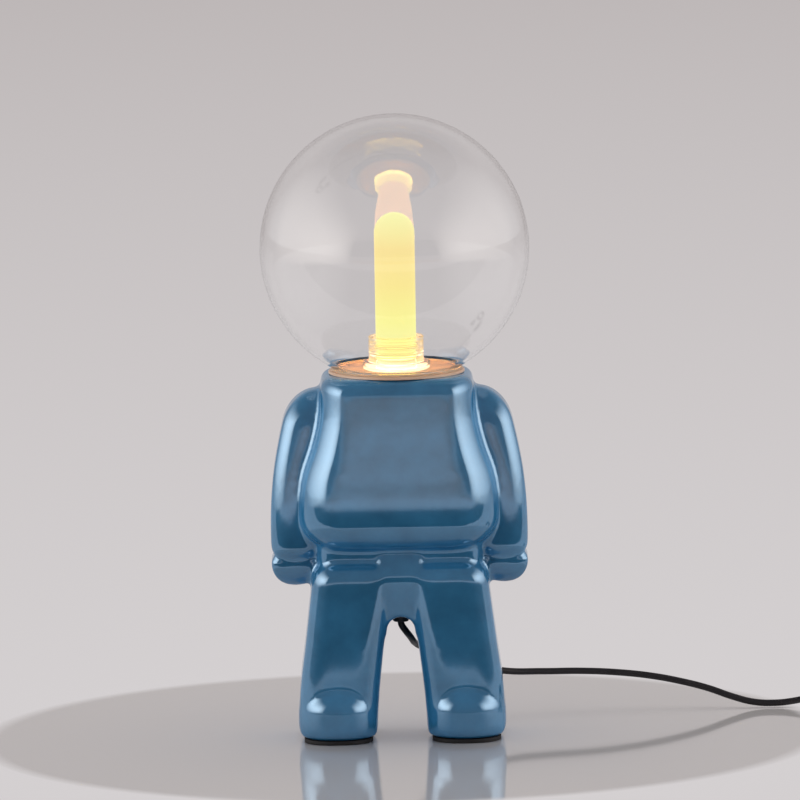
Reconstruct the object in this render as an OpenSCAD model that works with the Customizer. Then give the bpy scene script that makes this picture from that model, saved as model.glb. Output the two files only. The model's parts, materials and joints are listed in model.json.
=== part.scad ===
// Astronaut table lamp: a hollow glazed ceramic figure carries a clear glass globe,
// a frosted light tube in a clear screw holder, and a mains lead with a rocker switch.
// Millimetres, +Z up, +X to the viewer's right, +Y away from the viewer.
// The origin is on the table, under the axis of the globe.

/* [Figure] */
// Wall of the slip-cast figure
wall = 5; // [4:0.5:6]
// Height from the soles to the crotch
crotch_h = 89; // [80:1:100]
// Rise from the crotch to the bottom of the torso
hip_rise = 53; // [48:1:58]
// Height of the torso
torso_h = 128; // [122:1:150]
// Width across the top of the torso
shoulder_w = 113; // [110:1:124]
// Depth of the torso at the top
shoulder_d = 108; // [104:1:120]
// Rounding of the torso's top edge
shoulder_round = 8; // [7:0.5:10]
// Drop from the top of the torso to the level where it starts to flare
chest_drop = 36; // [28:1:44]
// Width of the torso where it starts to flare
chest_w = 117; // [112:1:126]
// Width of the belly, the widest part of the torso
belly_w = 147; // [138:1:154]
// Depth of the belly
belly_d = 114; // [104:1:124]
// Rounding of the belly
belly_round = 28; // [22:1:32]
// Width across the hips
hip_w = 121; // [112:1:130]
// Depth of the hips
hip_d = 82; // [76:1:86]
// Rounding of the hips
hip_round = 16; // [12:1:20]
// Rise of the hip level above the crotch
hip_level = 46; // [40:1:52]
// Width of the flat underside of the crotch
crotch_w = 66; // [58:1:76]
// Rounding at the crotch
crotch_round = 12; // [10:1:16]

/* [Legs and feet] */
// Gap between the thighs where they meet the crotch
arch_gap = 12; // [10:1:16]
// Width across both thighs
thigh_span = 132; // [126:1:138]
// Depth of a thigh
thigh_d = 86; // [78:1:92]
// Rise of the thigh level above the crotch
thigh_level = 26; // [22:1:30]
// Gap between the feet
foot_gap = 36; // [32:1:42]
// Width across both ankles
ankle_span = 152; // [146:1:156]
// Depth of an ankle
ankle_d = 80; // [74:1:84]
// Height of the ankle level above the soles
ankle_h = 30; // [26:1:36]
// Rounding of the legs
leg_round = 12; // [10:1:14]
// Width across both feet
foot_span = 154; // [148:1:160]
// Reach of the toes in front of the axis
toe_reach = 48; // [44:1:52]
// Reach of the heels behind the axis
heel_reach = 38; // [34:1:44]
// Height of a foot, sole to instep
foot_h = 34; // [30:1:40]
// Rounding of the feet
foot_round = 13; // [11:0.5:15]

/* [Arms] */
// Drop from the top of the torso to the shoulder ball
shoulder_drop = 33; // [28:1:40]
// Reach of the shoulder ball past the torso's top edge
shoulder_out = 7; // [4:0.5:9]
// Radius of the shoulder ball
shoulder_r = 22; // [20:0.5:24]
// Drop of the elbow below the middle of the arm
elbow_sag = 1; // [0:0.5:4]
// Reach of the elbow past the shoulder
elbow_out = 9.5; // [7:0.5:12]
// Radius of the elbow
elbow_r = 20.5; // [19:0.5:22]
// Height of the wrist above the foot of the torso
wrist_rise = 7; // [4:0.5:10]
// Reach of the wrist past the elbow
wrist_out = 3.5; // [1:0.5:6]
// Radius of the wrist
wrist_r = 19; // [17:0.5:21]
// Fore and aft length of the flat along an arm
arm_flat = 12; // [8:1:20]
// Drop from the wrist to the middle of the hand
hand_drop = 23; // [21:0.5:25]
// Width of a hand
hand_w = 38; // [34:1:40]
// Depth of a hand
hand_d = 44; // [38:1:50]
// Rounding of a hand
hand_r = 12; // [11:0.5:13]

/* [Foot pads] */
// Thickness of a rubber foot pad
pad_t = 3; // [2:0.5:5]
// Inset of a pad from the edge of its sole
pad_inset = 4; // [3:0.5:8]
// Corner radius of a pad
pad_corner = 12; // [8:1:16]

/* [Globe] */
// Outside diameter of the glass globe
globe_d = 200; // [180:1:220]
// Wall of the glass
glass_t = 2.5; // [2:0.25:3.5]
// Diameter at which the globe turns into its neck
globe_neck_d = 100; // [96:1:106]
// Height of the globe's neck
globe_neck_h = 2; // [1.5:0.5:4]
// Outside diameter of the globe's mouth
mouth_d = 94; // [90:1:96]
// Thickness of the silicone ring under the mouth
gasket_t = 1.5; // [1:0.25:3]
// Reach of the ring past the rim of the mouth
gasket_over = 1; // [0.5:0.25:2]
// Reach of the ring inside the rim of the mouth
gasket_in = 0.5; // [0.25:0.25:1.5]

/* [Neck] */
// Thickness of the ceramic deck across the neck
deck_t = 8; // [6:0.5:10]
// Diameter of the hole through the deck
neck_hole_d = 48; // [44:1:54]
// Diameter of the metal neck plate
plate_d = 101; // [98:1:104]
// Thickness of the metal neck plate
plate_t = 2; // [1.5:0.25:3]

/* [Light tube] */
// Diameter of the frosted tube
tube_d = 30; // [26:0.5:34]
// Length of the frosted tube, domed end included
tube_len = 107; // [90:1:113]
// Wall of the frosted tube
tube_t = 2.5; // [2:0.25:3]
// Outside diameter of the clear holder
holder_d = 41; // [40:0.5:46]
// Height of the clear holder
holder_h = 25; // [23:1:31]
// Diameter of the holder's flange
flange_d = 50; // [48:0.5:56]
// Height of the holder's flange
flange_h = 6; // [5:0.5:9]
// Thickness of the holder's floor
lip_t = 2; // [1.5:0.25:3]
// Pitch of the holder's thread
thread_pitch = 3; // [2.5:0.25:3.5]
// Depth of the thread
thread_depth = 1.2; // [0.8:0.1:1.5]
// Number of thread ridges
thread_ridges = 4; // [3:1:5]
// Gap between the tube's thread and the holder's
thread_gap = 0.4; // [0.3:0.05:0.6]
// Thickness of the aluminium heat sink
sink_t = 4; // [3.5:0.5:6]
// Thickness of the LED board
board_t = 1.6; // [1:0.2:2]
// Edge of an LED chip
chip_w = 3; // [2:0.5:4]
// Height of an LED chip
chip_t = 0.7; // [0.5:0.1:1.2]
// Radius of the ring of chips
chip_ring_r = 7.5; // [6:0.5:8]
// Chips in the ring
chip_count = 6; // [4:1:7]

/* [Neck hardware] */
// Diameter of the threaded tube that clamps the neck together
nipple_d = 10; // [8:0.5:12]
// Bore of the threaded tube
nipple_bore = 7; // [5:0.5:8]
// Length of the threaded tube below its nut
nipple_tail = 3.5; // [2:0.5:6]
// Gap round the threaded tube
nipple_gap = 0.05; // [0.03:0.01:0.1]
// Length of the bridge bar under the deck
bridge_l = 70; // [62:1:80]
// Width of the bridge bar
bridge_w = 14; // [12.5:0.5:18]
// Thickness of the bridge bar
bridge_t = 2; // [1.5:0.25:3]
// Sheet of the driver bracket
sheet_t = 1.5; // [1:0.25:2]
// Thickness of the lock nut
nut_t = 5; // [4:0.5:7]
// Width of the lock nut across its flats
nut_af = 15; // [14:0.5:16]

/* [Driver] */
// Width of the driver case
driver_w = 36; // [32:1:38]
// Depth of the driver case, cover included
driver_d = 18; // [17:0.5:20]
// Height of the driver case
driver_h = 46; // [40:1:56]
// Gap from the threaded tube's end to the driver
driver_drop = 14; // [8:1:24]
// Wall of the driver case
driver_wall = 2; // [1.5:0.25:2.5]
// Height of the posts under the driver's board
post_h = 2; // [1.5:0.25:3]
// Thread radius of the small screws
screw_r = 1.4; // [1.2:0.1:1.5]
// Head radius of the small screws
screw_head_r = 2.6; // [2.4:0.1:3]
// Head height of the small screws
screw_head_h = 1.6; // [1.2:0.1:2]
// Gap round the small screws
screw_gap = 0.05; // [0.03:0.01:0.1]
// Radius of a light wire
wire_r = 0.8; // [0.6:0.1:1]
// Spacing of the two light wires
wire_pitch = 3; // [2.4:0.1:3.2]

/* [Cord] */
// Diameter of the mains lead
cord_d = 5; // [4.5:0.5:5.5]
// Gap round the lead in its gland and entries
cord_gap = 0.1; // [0.05:0.01:0.2]
// Diameter of the gland's flange
gland_d = 14; // [13:0.5:16]
// Height of the gland's flange
gland_h = 6; // [5:0.5:8]
// Diameter of the gland's threaded shank
gland_shank_d = 9; // [8.5:0.25:10]
// Thickness of the gland's nut
gland_nut_t = 4; // [3:0.5:6]
// Mid-turn gap between the coil's turns
turn_gap = 0.6; // [0.5:0.05:1]
// Turns of the coil, in two layers
coil_turns = 6.5; // [4.5:1:6.5]
// Radius of the coil's innermost turn
coil_in_r = 20.5; // [20:0.5:24]
// Width of the coil's tie
tie_w = 5; // [3:0.5:8]
// Thickness of the coil's tie
tie_t = 0.7; // [0.6:0.1:1]
// Gap between the tie and the coil
tie_gap = 0.3; // [0.2:0.05:0.5]

/* [Switch] */
// Length of the in-line switch
switch_l = 62; // [60:1:70]
// Width of the in-line switch
switch_w = 28; // [27:0.5:34]
// Height of the in-line switch
switch_h = 18; // [17:0.5:20]
// Wall of the switch case
switch_wall = 2; // [1.8:0.1:2.2]
// Corner radius of the switch case
switch_corner = 7; // [5:0.5:8]
// Length of the rocker
rocker_l = 20; // [18:0.5:21]
// Width of the rocker
rocker_w = 13; // [12:0.5:14]
// Rocker's tilt to either side of level
rocker_tilt = 9; // [6:0.5:10]
// Height of the rocker's middle above its pin
rocker_rise = 6.3; // [5.5:0.1:6.5]
// Depth of the rocker below its pin
rocker_drop = 2.5; // [2:0.1:3]
// Height of the rocker's pin above the table
pin_z = 11.5; // [11:0.25:12]
// Diameter of the rocker's pin
pin_d = 2.5; // [2:0.1:3]
// Gap round the rocker's pin
pin_gap = 0.05; // [0.03:0.01:0.1]
// Gap beside the rocker
rocker_gap = 0.5; // [0.4:0.05:0.6]
// Thickness of the posts that carry the pin
post_t = 2.4; // [2:0.1:2.6]
// Sheet of the brass contacts
contact_t = 0.6; // [0.4:0.1:1]

/* [Plug] */
// Width of the plug at its face
plug_w = 35; // [32:1:38]
// Thickness of the plug
plug_t = 14; // [13.5:0.5:18]
// Length of the plug's body
plug_l = 35; // [30:1:42]
// Width of the plug at its lead end
plug_tail_w = 16; // [14:1:20]
// Length of the tapered strain relief
relief_l = 24; // [20:1:40]
// Diameter of the strain relief at the plug
relief_d = 11; // [9:0.5:12]
// Diameter of a plug pin
prong_d = 4; // [3.8:0.1:4.8]
// Length of a plug pin
prong_l = 19; // [17:0.5:20]
// Spacing of the plug pins
prong_pitch = 18.6; // [17.5:0.1:19]
// Depth of a pin in the plug
prong_in = 8; // [6:0.5:12]
// Gap round a pin in the plug
prong_gap = 0.05; // [0.03:0.01:0.1]

/* [Hidden] */
$fn = 72;

eps = 0.01;

// Levels of the figure
crotch_z = pad_t + crotch_h;
torso_z = crotch_z + hip_rise;
neck_z = torso_z + torso_h;
belly_z = torso_z + belly_round;
hip_z = crotch_z + hip_level;
shoulder_z = neck_z - shoulder_drop;
wrist_z = torso_z + wrist_rise;
elbow_z = (shoulder_z + wrist_z) / 2 - elbow_sag;
hand_z = wrist_z - hand_drop;
shoulder_x = shoulder_w / 2 + shoulder_out;
elbow_x = shoulder_x + elbow_out;
wrist_x = elbow_x + wrist_out;
foot_w = (foot_span - foot_gap) / 2;
foot_x = (foot_span + foot_gap) / 4;
foot_y = (heel_reach - toe_reach) / 2;
foot_d = heel_reach + toe_reach;
outer_fn = 20;
cavity_fn = 16;

// Neck stack, from the deck up to the globe
deck_z = neck_z - deck_t;
plate_z = neck_z + plate_t;
globe_r = globe_d / 2;
neck_drop = sqrt(globe_r * globe_r - globe_neck_d * globe_neck_d / 4);
rim_in_r = mouth_d / 2 - glass_t;
rim_z = plate_z + gasket_t;
globe_z = rim_z + globe_neck_h + neck_drop;

// Holder, heat sink and tube
sink_z = plate_z + lip_t;
sink_r = tube_d / 2 - thread_gap;
board_z = sink_z + sink_t;
chip_z = board_z + board_t;
tube_lift = 1.7;
tube_z = chip_z + chip_t + tube_lift;
tube_r = tube_d / 2;
holder_bore_r = tube_r + thread_gap;
ridge_r = tube_r + thread_depth;
ridge_w = thread_pitch / 2 - thread_gap;
ridge_z = tube_z + thread_pitch;

// Clamp under the deck
nipple_r = nipple_d / 2;
nipple_hole_r = nipple_r + nipple_gap;
nipple_seat = 1.5;
nipple_top_z = board_z - nipple_seat;
bridge_z = deck_z - bridge_t;
tab_z = bridge_z - sheet_t;
nut_z = tab_z - nut_t;
nipple_end_z = nut_z - nipple_tail;
driver_top_z = nipple_end_z - driver_drop;
driver_z = driver_top_z - driver_h;
nut_room = 1;
leg_x = -nut_af / cos(30) / 2 - nut_room - sheet_t;
tab_l = nut_af / cos(30) / 2 - leg_x;
case_x = leg_x + sheet_t;
cover_t = driver_wall;
case_l = driver_d - cover_t;
driver_mid_x = case_x + driver_d / 2;
board_x = case_x + driver_wall + post_h;
screw_inset = 10;

// Cord, gland and coil
cord_r = cord_d / 2;
cord_hole_r = cord_r + cord_gap;
gland_z = crotch_z - gland_h;
gland_top_z = crotch_z + wall + gland_nut_t + 2;
cord_sides = 10;
coil_sides = 6;
loop_rings = 24;
coil_pitch = cord_d + turn_gap;
coil_out_r = coil_in_r + coil_pitch * coil_turns / 2;
coil_floor_z = tie_t + tie_gap;
coil_z = coil_floor_z + cord_r;

// Places on the table of the switch, the coil and the plug
switch_x = 354;
switch_y = 104;
coil_x = 430;
entry_in = 8;
plug_gap_x = 26;
switch_in_x = switch_x - switch_l / 2;
switch_out_x = switch_x + switch_l / 2;
split_z = switch_h / 2;
boss_wall = 1;
boss_r = screw_head_r + boss_wall;
coil_y = switch_y - coil_out_r;
tail_y = coil_y - coil_out_r;
plug_end_x = coil_x - plug_gap_x;
plug_back_x = plug_end_x - relief_l;
plug_face_x = plug_back_x - plug_l;
plug_z = plug_t / 2;

// The lead from the gland to the switch, then to the coil, then to the plug
run_mid = [
    [0.2, 0.1, 84.2], [1, 0.6, 82.2], [2.6, 2.2, 79.6], [4.4, 5.4, 76.6], [6.6, 12, 72.8], [8.2, 20, 69.2],
    [9.3, 29, 66.2], [10.4, 37, 64], [13, 45, 61], [19, 54, 57], [32, 67.5, 50], [52, 79, 41],
    [77, 88, 34], [105, 95, 32], [135, 100, 31], [162, 103, 29], [188, 105, 25.5], [210, 105, 21],
    [230, 105, 15.5], [248, 104, 9], [264, 104, 4.6], [280, 104, 3.6], [295, 104, 5], [306, 104, 7.2]
];
run_points = concat(
    [[0, 0, gland_z]],
    run_mid,
    [
        [switch_in_x - 8, switch_y, split_z],
        [switch_in_x - 1, switch_y, split_z],
        [switch_in_x + entry_in, switch_y, split_z]
    ]
);
lead_points = [
    [switch_out_x - entry_in, switch_y, split_z],
    [switch_out_x + 1, switch_y, split_z],
    [switch_out_x + 6, switch_y, split_z],
    [(switch_out_x + coil_x) / 2 - 4, switch_y, (split_z + coil_z) / 2],
    [coil_x - cord_d - 8, switch_y, coil_z],
    [coil_x - cord_d - 4, switch_y, coil_z],
    [coil_x - cord_d, switch_y, coil_z]
];
coil_top_z = coil_z + coil_pitch;
tail_points = [
    [coil_x - cord_d, tail_y, coil_top_z],
    [coil_x - cord_d - 2, tail_y, coil_top_z],
    [coil_x - cord_d - 4, tail_y, coil_top_z],
    [plug_end_x + 4, tail_y, plug_z],
    [plug_end_x + 2, tail_y, plug_z],
    [plug_end_x, tail_y, plug_z]
];
inner_points = [
    [0, 0, gland_z], [0, 0, gland_top_z], [0, 0, gland_top_z + 5], [5, 2, gland_top_z + 20],
    [9, 4, gland_top_z + 38],
    [driver_mid_x + 2, 1, driver_z - 16], [driver_mid_x, 0, driver_z - 6],
    [driver_mid_x, 0, driver_z + driver_wall]
];
run_side = [0.5, -0.87, 0];
flat_side = [0, 0, 1];
inner_side = [0, 1, 0];

// Vectors and smooth routes
function unit(v) = v / norm(v);
function blend(a, b, c, d, t) =
    0.5 * (2 * b + (c - a) * t + (2 * a - 5 * b + 4 * c - d) * t * t + (3 * b - a - 3 * c + d) * t * t * t);
function smooth(points, steps) = [
    for (i = [0 : len(points) - 2], k = [0 : steps - 1])
        blend(points[max(i - 1, 0)], points[i], points[i + 1], points[min(i + 2, len(points) - 1)], k / steps),
    points[len(points) - 1]
];
function heading(p, i) =
    i == 0 ? unit(p[1] - p[0])
    : i == len(p) - 1 ? unit(p[i] - p[i - 1])
    : unit(unit(p[i + 1] - p[i]) + unit(p[i] - p[i - 1]));
function ring(centre, along, side, r, sides) =
    let (u = unit(cross(along, side)), v = cross(along, u))
    [for (k = [0 : sides - 1]) centre + r * (cos(360 * k / sides) * u + sin(360 * k / sides) * v)];

// One closed tube of flat facets along a list of points
module sweep(p, side, r, sides) {
    n = len(p);
    points = [for (i = [0 : n - 1]) each ring(p[i], heading(p, i), side, r, sides)];
    walls = [
        for (i = [0 : n - 2], k = [0 : sides - 1])
            let (a = i * sides + k, b = i * sides + (k + 1) % sides)
                each [[a, b, a + sides], [b, b + sides, a + sides]]
    ];
    first = [for (k = [1 : sides - 2]) [0, k + 1, k]];
    last = [for (k = [1 : sides - 2]) [(n - 1) * sides, (n - 1) * sides + k, (n - 1) * sides + k + 1]];
    polyhedron(points, concat(walls, first, last), convexity = 8);
}

// Points of the coil: it spirals in on the lower layer and out again on the upper one
function coil_point(turn) =
    let (
        from_turn = turn - coil_turns / 2,
        r = coil_in_r + coil_pitch * abs(from_turn),
        climb = min(max(2 * from_turn + 0.5, 0), 1),
        angle = 90 - 360 * turn
    )
    [coil_x + r * cos(angle), coil_y + r * sin(angle), coil_z + coil_pitch * climb];
coil_loops = [for (i = [0 : coil_turns * loop_rings]) coil_point(i / loop_rings)];
coil_points = concat(
    [[coil_x - cord_d, switch_y, coil_z]],
    coil_loops,
    [[coil_x - cord_d, tail_y, coil_top_z]]
);
function least_gap(p, apart, d) =
    min([for (i = [0 : len(p) - 1 - apart], j = [i + apart : len(p) - 1]) norm(p[i] - p[j])]) - d;

// Rounded rectangle, exact arcs at its corners
module rounded(w, d, r) {
    square([w - 2 * r, d], center = true);
    square([w, d - 2 * r], center = true);
    for (x = [-1, 1], y = [-1, 1])
        translate([x * (w / 2 - r), y * (d / 2 - r)])
            circle(r);
}

// A ball whose facets reach its full radius along each axis
module ball(r, fn) {
    sphere(r / cos(180 / fn), $fn = fn);
}

// Four balls at the corners of a rounded slab
module slab_balls(x, y, w, d, z, r, inset, fn) {
    for (sx = [-1, 1], sy = [-1, 1])
        translate([x + sx * (w / 2 - r), y + sy * (d / 2 - r), z])
            ball(r - inset, fn);
}

// Two balls along an arm
module arm_balls(x, z, r, inset, fn) {
    for (sy = [-1, 1])
        translate([x, sy * arm_flat / 2, z])
            ball(r - inset, fn);
}

module torso(inset, fn) {
    chest_z = neck_z - chest_drop;
    hull() {
        slab_balls(0, 0, shoulder_w, shoulder_d, neck_z - shoulder_round, shoulder_round, inset, fn);
        slab_balls(0, 0, chest_w, shoulder_d, chest_z, shoulder_round, inset, fn);
    }
    hull() {
        slab_balls(0, 0, chest_w, shoulder_d, chest_z, shoulder_round, inset, fn);
        slab_balls(0, 0, belly_w, belly_d, belly_z, belly_round, inset, fn);
    }
}

module pelvis(inset, fn) {
    hull() {
        slab_balls(0, 0, hip_w, hip_d, hip_z, hip_round, inset, fn);
        slab_balls(0, 0, hip_w, hip_d, torso_z + hip_round, hip_round, inset, fn);
        slab_balls(0, 0, crotch_w, hip_d, crotch_z + crotch_round, crotch_round, inset, fn);
    }
}

module leg(inset, fn) {
    thigh_x = (thigh_span + arch_gap) / 4;
    thigh_w = (thigh_span - arch_gap) / 2;
    ankle_x = (ankle_span + foot_gap) / 4;
    ankle_w = (ankle_span - foot_gap) / 2;
    hull() {
        slab_balls(thigh_x, 0, thigh_w, thigh_d, crotch_z + thigh_level, leg_round, inset, fn);
        slab_balls(ankle_x, 0, ankle_w, ankle_d, pad_t + ankle_h, leg_round, inset, fn);
    }
}

module foot(inset, fn) {
    hull() {
        slab_balls(foot_x, foot_y, foot_w, foot_d, pad_t + foot_round, foot_round, inset, fn);
        slab_balls(foot_x, foot_y, foot_w, foot_d, pad_t + foot_h - foot_round, foot_round, inset, fn);
    }
}

module arm(inset, fn) {
    hull() {
        arm_balls(shoulder_x, shoulder_z, shoulder_r, inset, fn);
        arm_balls(elbow_x, elbow_z, elbow_r, inset, fn);
    }
    hull() {
        arm_balls(elbow_x, elbow_z, elbow_r, inset, fn);
        arm_balls(wrist_x, wrist_z, wrist_r, inset, fn);
    }
}

module hand() {
    hull()
        slab_balls(wrist_x, 0, hand_w, hand_d, hand_z, hand_r, 0, outer_fn);
}

// The whole figure, or its cavity when it is drawn in by the wall
module figure(inset, fn) {
    torso(inset, fn);
    pelvis(inset, fn);
    for (side = [0, 1])
        mirror([side, 0, 0]) {
            leg(inset, fn);
            foot(inset, fn);
            arm(inset, fn);
        }
}

module ceramic_body() {
    color("steelblue")
        difference() {
            union() {
                figure(0, outer_fn);
                hand();
                mirror([1, 0, 0])
                    hand();
            }
            difference() {
                figure(wall, cavity_fn);
                translate([-belly_w, -belly_d, deck_z])
                    cube([2 * belly_w, 2 * belly_d, torso_h]);
            }
            translate([0, 0, deck_z - eps])
                cylinder(d = neck_hole_d, h = deck_t + 2 * eps);
            translate([0, 0, crotch_z - wall])
                cylinder(d = gland_shank_d + 2 * cord_gap, h = 3 * wall);
        }
}

module foot_pad(side) {
    color("black")
        translate([side * foot_x, foot_y, 0])
            linear_extrude(pad_t)
                rounded(foot_w - 2 * pad_inset, foot_d - 2 * pad_inset, pad_corner);
}

module neck_plate() {
    color("sandybrown")
        translate([0, 0, neck_z])
            difference() {
                cylinder(d = plate_d, h = plate_t);
                translate([0, 0, -eps])
                    cylinder(r = nipple_hole_r, h = plate_t + 2 * eps);
            }
}

module globe_gasket() {
    color("white")
        translate([0, 0, plate_z])
            difference() {
                cylinder(d = mouth_d + 2 * gasket_over, h = gasket_t);
                translate([0, 0, -eps])
                    cylinder(r = rim_in_r - gasket_in, h = gasket_t + 2 * eps);
            }
}

// A ball cut off at the globe's neck, on a cone that narrows to the mouth
module bulb(r, mouth_r, below) {
    difference() {
        translate([0, 0, globe_z])
            sphere(r);
        translate([0, 0, globe_z - neck_drop - r])
            cylinder(r = r, h = r);
    }
    translate([0, 0, rim_z - below])
        cylinder(r1 = mouth_r, r2 = sqrt(r * r - neck_drop * neck_drop), h = globe_neck_h + below);
}

module glass_globe() {
    color("white", 0.3)
        difference() {
            bulb(globe_r, mouth_d / 2, 0);
            bulb(globe_r - glass_t, rim_in_r, eps);
        }
}

// Ridges of the screw thread, or the grooves that take them when grown by the gap
module thread_rings(core_r, crest_r, grow) {
    for (i = [0 : thread_ridges - 1])
        translate([0, 0, ridge_z + i * thread_pitch])
            rotate_extrude()
                polygon([
                    [core_r, -ridge_w / 2 - grow], [crest_r, -ridge_w / 4 - grow],
                    [crest_r, ridge_w / 4 + grow], [core_r, ridge_w / 2 + grow]
                ]);
}

module tube_holder() {
    color("lightyellow", 0.5)
        difference() {
            translate([0, 0, plate_z]) {
                cylinder(d = flange_d, h = flange_h);
                cylinder(d = holder_d, h = holder_h);
            }
            translate([0, 0, plate_z - eps])
                cylinder(r = nipple_hole_r, h = lip_t + 2 * eps);
            translate([0, 0, sink_z])
                cylinder(r = holder_bore_r, h = holder_h);
            thread_rings(tube_r - thread_gap, ridge_r + thread_gap, thread_gap);
        }
}

module diffuser_tube() {
    dome_z = tube_z + tube_len - tube_r;
    bore_r = tube_r - tube_t;
    color("khaki")
        difference() {
            union() {
                translate([0, 0, tube_z])
                    cylinder(r = tube_r, h = tube_len - tube_r);
                translate([0, 0, dome_z])
                    sphere(tube_r);
                thread_rings(tube_r - thread_gap, ridge_r, 0);
            }
            translate([0, 0, tube_z - eps])
                cylinder(r = bore_r, h = tube_len - tube_r + eps);
            translate([0, 0, dome_z])
                sphere(bore_r);
        }
}

module heat_sink() {
    color("silver")
        translate([0, 0, sink_z])
            difference() {
                cylinder(r = sink_r, h = sink_t);
                translate([0, 0, -eps])
                    cylinder(r = nipple_hole_r, h = sink_t - nipple_seat + eps);
                cylinder(d = nipple_bore, h = sink_t + eps);
            }
}

module led_board() {
    color("white")
        translate([0, 0, board_z])
            cylinder(r = sink_r, h = board_t);
}

module led_chips() {
    color("yellow")
        translate([0, 0, chip_z]) {
            translate([-chip_w / 2, -chip_w / 2, 0])
                cube([chip_w, chip_w, chip_t]);
            for (i = [0 : chip_count - 1])
                rotate(360 * i / chip_count)
                    translate([chip_ring_r - chip_w / 2, -chip_w / 2, 0])
                        cube([chip_w, chip_w, chip_t]);
        }
}

module threaded_tube() {
    color("goldenrod")
        translate([0, 0, nipple_end_z])
            difference() {
                cylinder(r = nipple_r, h = nipple_top_z - nipple_end_z);
                translate([0, 0, -eps])
                    cylinder(d = nipple_bore, h = nipple_top_z - nipple_end_z + 2 * eps);
            }
}

module bridge_bar() {
    color("silver")
        translate([0, 0, bridge_z])
            difference() {
                translate([-bridge_l / 2, -bridge_w / 2, 0])
                    cube([bridge_l, bridge_w, bridge_t]);
                translate([0, 0, -eps])
                    cylinder(r = nipple_hole_r, h = bridge_t + 2 * eps);
            }
}

// Places of the two screws that hold the driver to its bracket
module at_driver_screws() {
    for (z = [driver_z + screw_inset, driver_top_z - screw_inset])
        translate([leg_x, 0, z])
            rotate([0, 90, 0])
                children();
}

module driver_bracket() {
    color("silver")
        difference() {
            union() {
                translate([leg_x, -bridge_w / 2, tab_z])
                    cube([tab_l, bridge_w, sheet_t]);
                translate([leg_x, -bridge_w / 2, driver_z])
                    cube([sheet_t, bridge_w, tab_z - driver_z + sheet_t]);
            }
            translate([0, 0, tab_z - eps])
                cylinder(r = nipple_hole_r, h = sheet_t + 2 * eps);
            at_driver_screws()
                translate([0, 0, -eps])
                    cylinder(r = screw_r + screw_gap, h = sheet_t + 2 * eps);
        }
}

module lock_nut() {
    color("goldenrod")
        translate([0, 0, nut_z])
            difference() {
                cylinder(d = nut_af / cos(30), h = nut_t, $fn = 6);
                translate([0, 0, -eps])
                    cylinder(r = nipple_hole_r, h = nut_t + 2 * eps);
            }
}

// Posts that hold the driver's board off its case
module at_driver_posts() {
    for (y = [-1, 1], z = [driver_z + screw_inset / 2, driver_top_z - screw_inset / 2])
        translate([case_x + driver_wall, y * (driver_w / 2 - screw_inset / 2), z])
            rotate([0, 90, 0])
                children();
}

module driver_case() {
    color("white") {
        difference() {
            translate([case_x, -driver_w / 2, driver_z])
                cube([case_l, driver_w, driver_h]);
            translate([case_x + driver_wall, -driver_w / 2 + driver_wall, driver_z + driver_wall])
                cube([case_l, driver_w - 2 * driver_wall, driver_h - 2 * driver_wall]);
            at_driver_screws()
                cylinder(r = screw_r + screw_gap, h = sheet_t + driver_wall + eps);
            translate([driver_mid_x, 0, driver_z - eps])
                cylinder(r = cord_hole_r, h = driver_wall + 2 * eps);
            for (x = [-1, 1])
                translate([x * wire_pitch / 2, 0, driver_top_z - driver_wall - eps])
                    cylinder(r = wire_r + cord_gap, h = driver_wall + 2 * eps);
        }
        at_driver_posts()
            cylinder(r = screw_r, h = post_h);
    }
}

module driver_cover() {
    color("gainsboro")
        translate([case_x + case_l, -driver_w / 2, driver_z])
            cube([cover_t, driver_w, driver_h]);
}

module driver_board() {
    margin = driver_wall + 1;
    color("green")
        translate([board_x, -driver_w / 2 + margin, driver_z + margin])
            cube([board_t, driver_w - 2 * margin, driver_h - 2 * margin]);
}

module driver_parts() {
    part_x = board_x + board_t;
    part_l = case_x + case_l - part_x - 1;
    can_r = 3.5;
    core_w = 12;
    color("dimgray") {
        translate([part_x, -core_w / 2 - can_r, driver_top_z - driver_h / 2])
            cube([part_l, core_w, core_w]);
        translate([part_x, driver_w / 4, driver_top_z - driver_h / 2])
            rotate([0, 90, 0])
                cylinder(r = can_r, h = part_l);
        translate([part_x, -driver_w / 4, driver_z + driver_h / 4])
            rotate([0, 90, 0])
                cylinder(r = can_r, h = part_l);
    }
}

module driver_screws() {
    color("silver")
        at_driver_screws() {
            translate([0, 0, -screw_head_h])
                cylinder(r = screw_head_r, h = screw_head_h);
            cylinder(r = screw_r, h = sheet_t + driver_wall);
        }
}

module led_wires() {
    color("red")
        for (x = [-1, 1])
            translate([x * wire_pitch / 2, 0, driver_top_z - driver_wall])
                cylinder(r = wire_r, h = board_z - driver_top_z + driver_wall);
}

module inner_cord() {
    color("black")
        sweep(smooth(inner_points, 3), inner_side, cord_r, cord_sides);
}

module cord_gland() {
    shank_h = gland_top_z - crotch_z;
    taper_h = gland_h / 2;
    color("black")
        difference() {
            union() {
                translate([0, 0, gland_z])
                    cylinder(d1 = gland_d - taper_h, d2 = gland_d, h = taper_h);
                translate([0, 0, gland_z + taper_h])
                    cylinder(d = gland_d, h = gland_h - taper_h);
                translate([0, 0, crotch_z])
                    cylinder(d = gland_shank_d, h = shank_h);
            }
            translate([0, 0, gland_z - eps])
                cylinder(r = cord_hole_r, h = gland_h + shank_h + 2 * eps);
        }
}

module gland_nut() {
    color("black")
        translate([0, 0, crotch_z + wall])
            difference() {
                cylinder(d = gland_d / cos(30), h = gland_nut_t, $fn = 6);
                translate([0, 0, -eps])
                    cylinder(d = gland_shank_d + 2 * nipple_gap, h = gland_nut_t + 2 * eps);
            }
}

module cord_run() {
    color("black")
        sweep(smooth(run_points, 2), run_side, cord_r, cord_sides);
}

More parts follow.
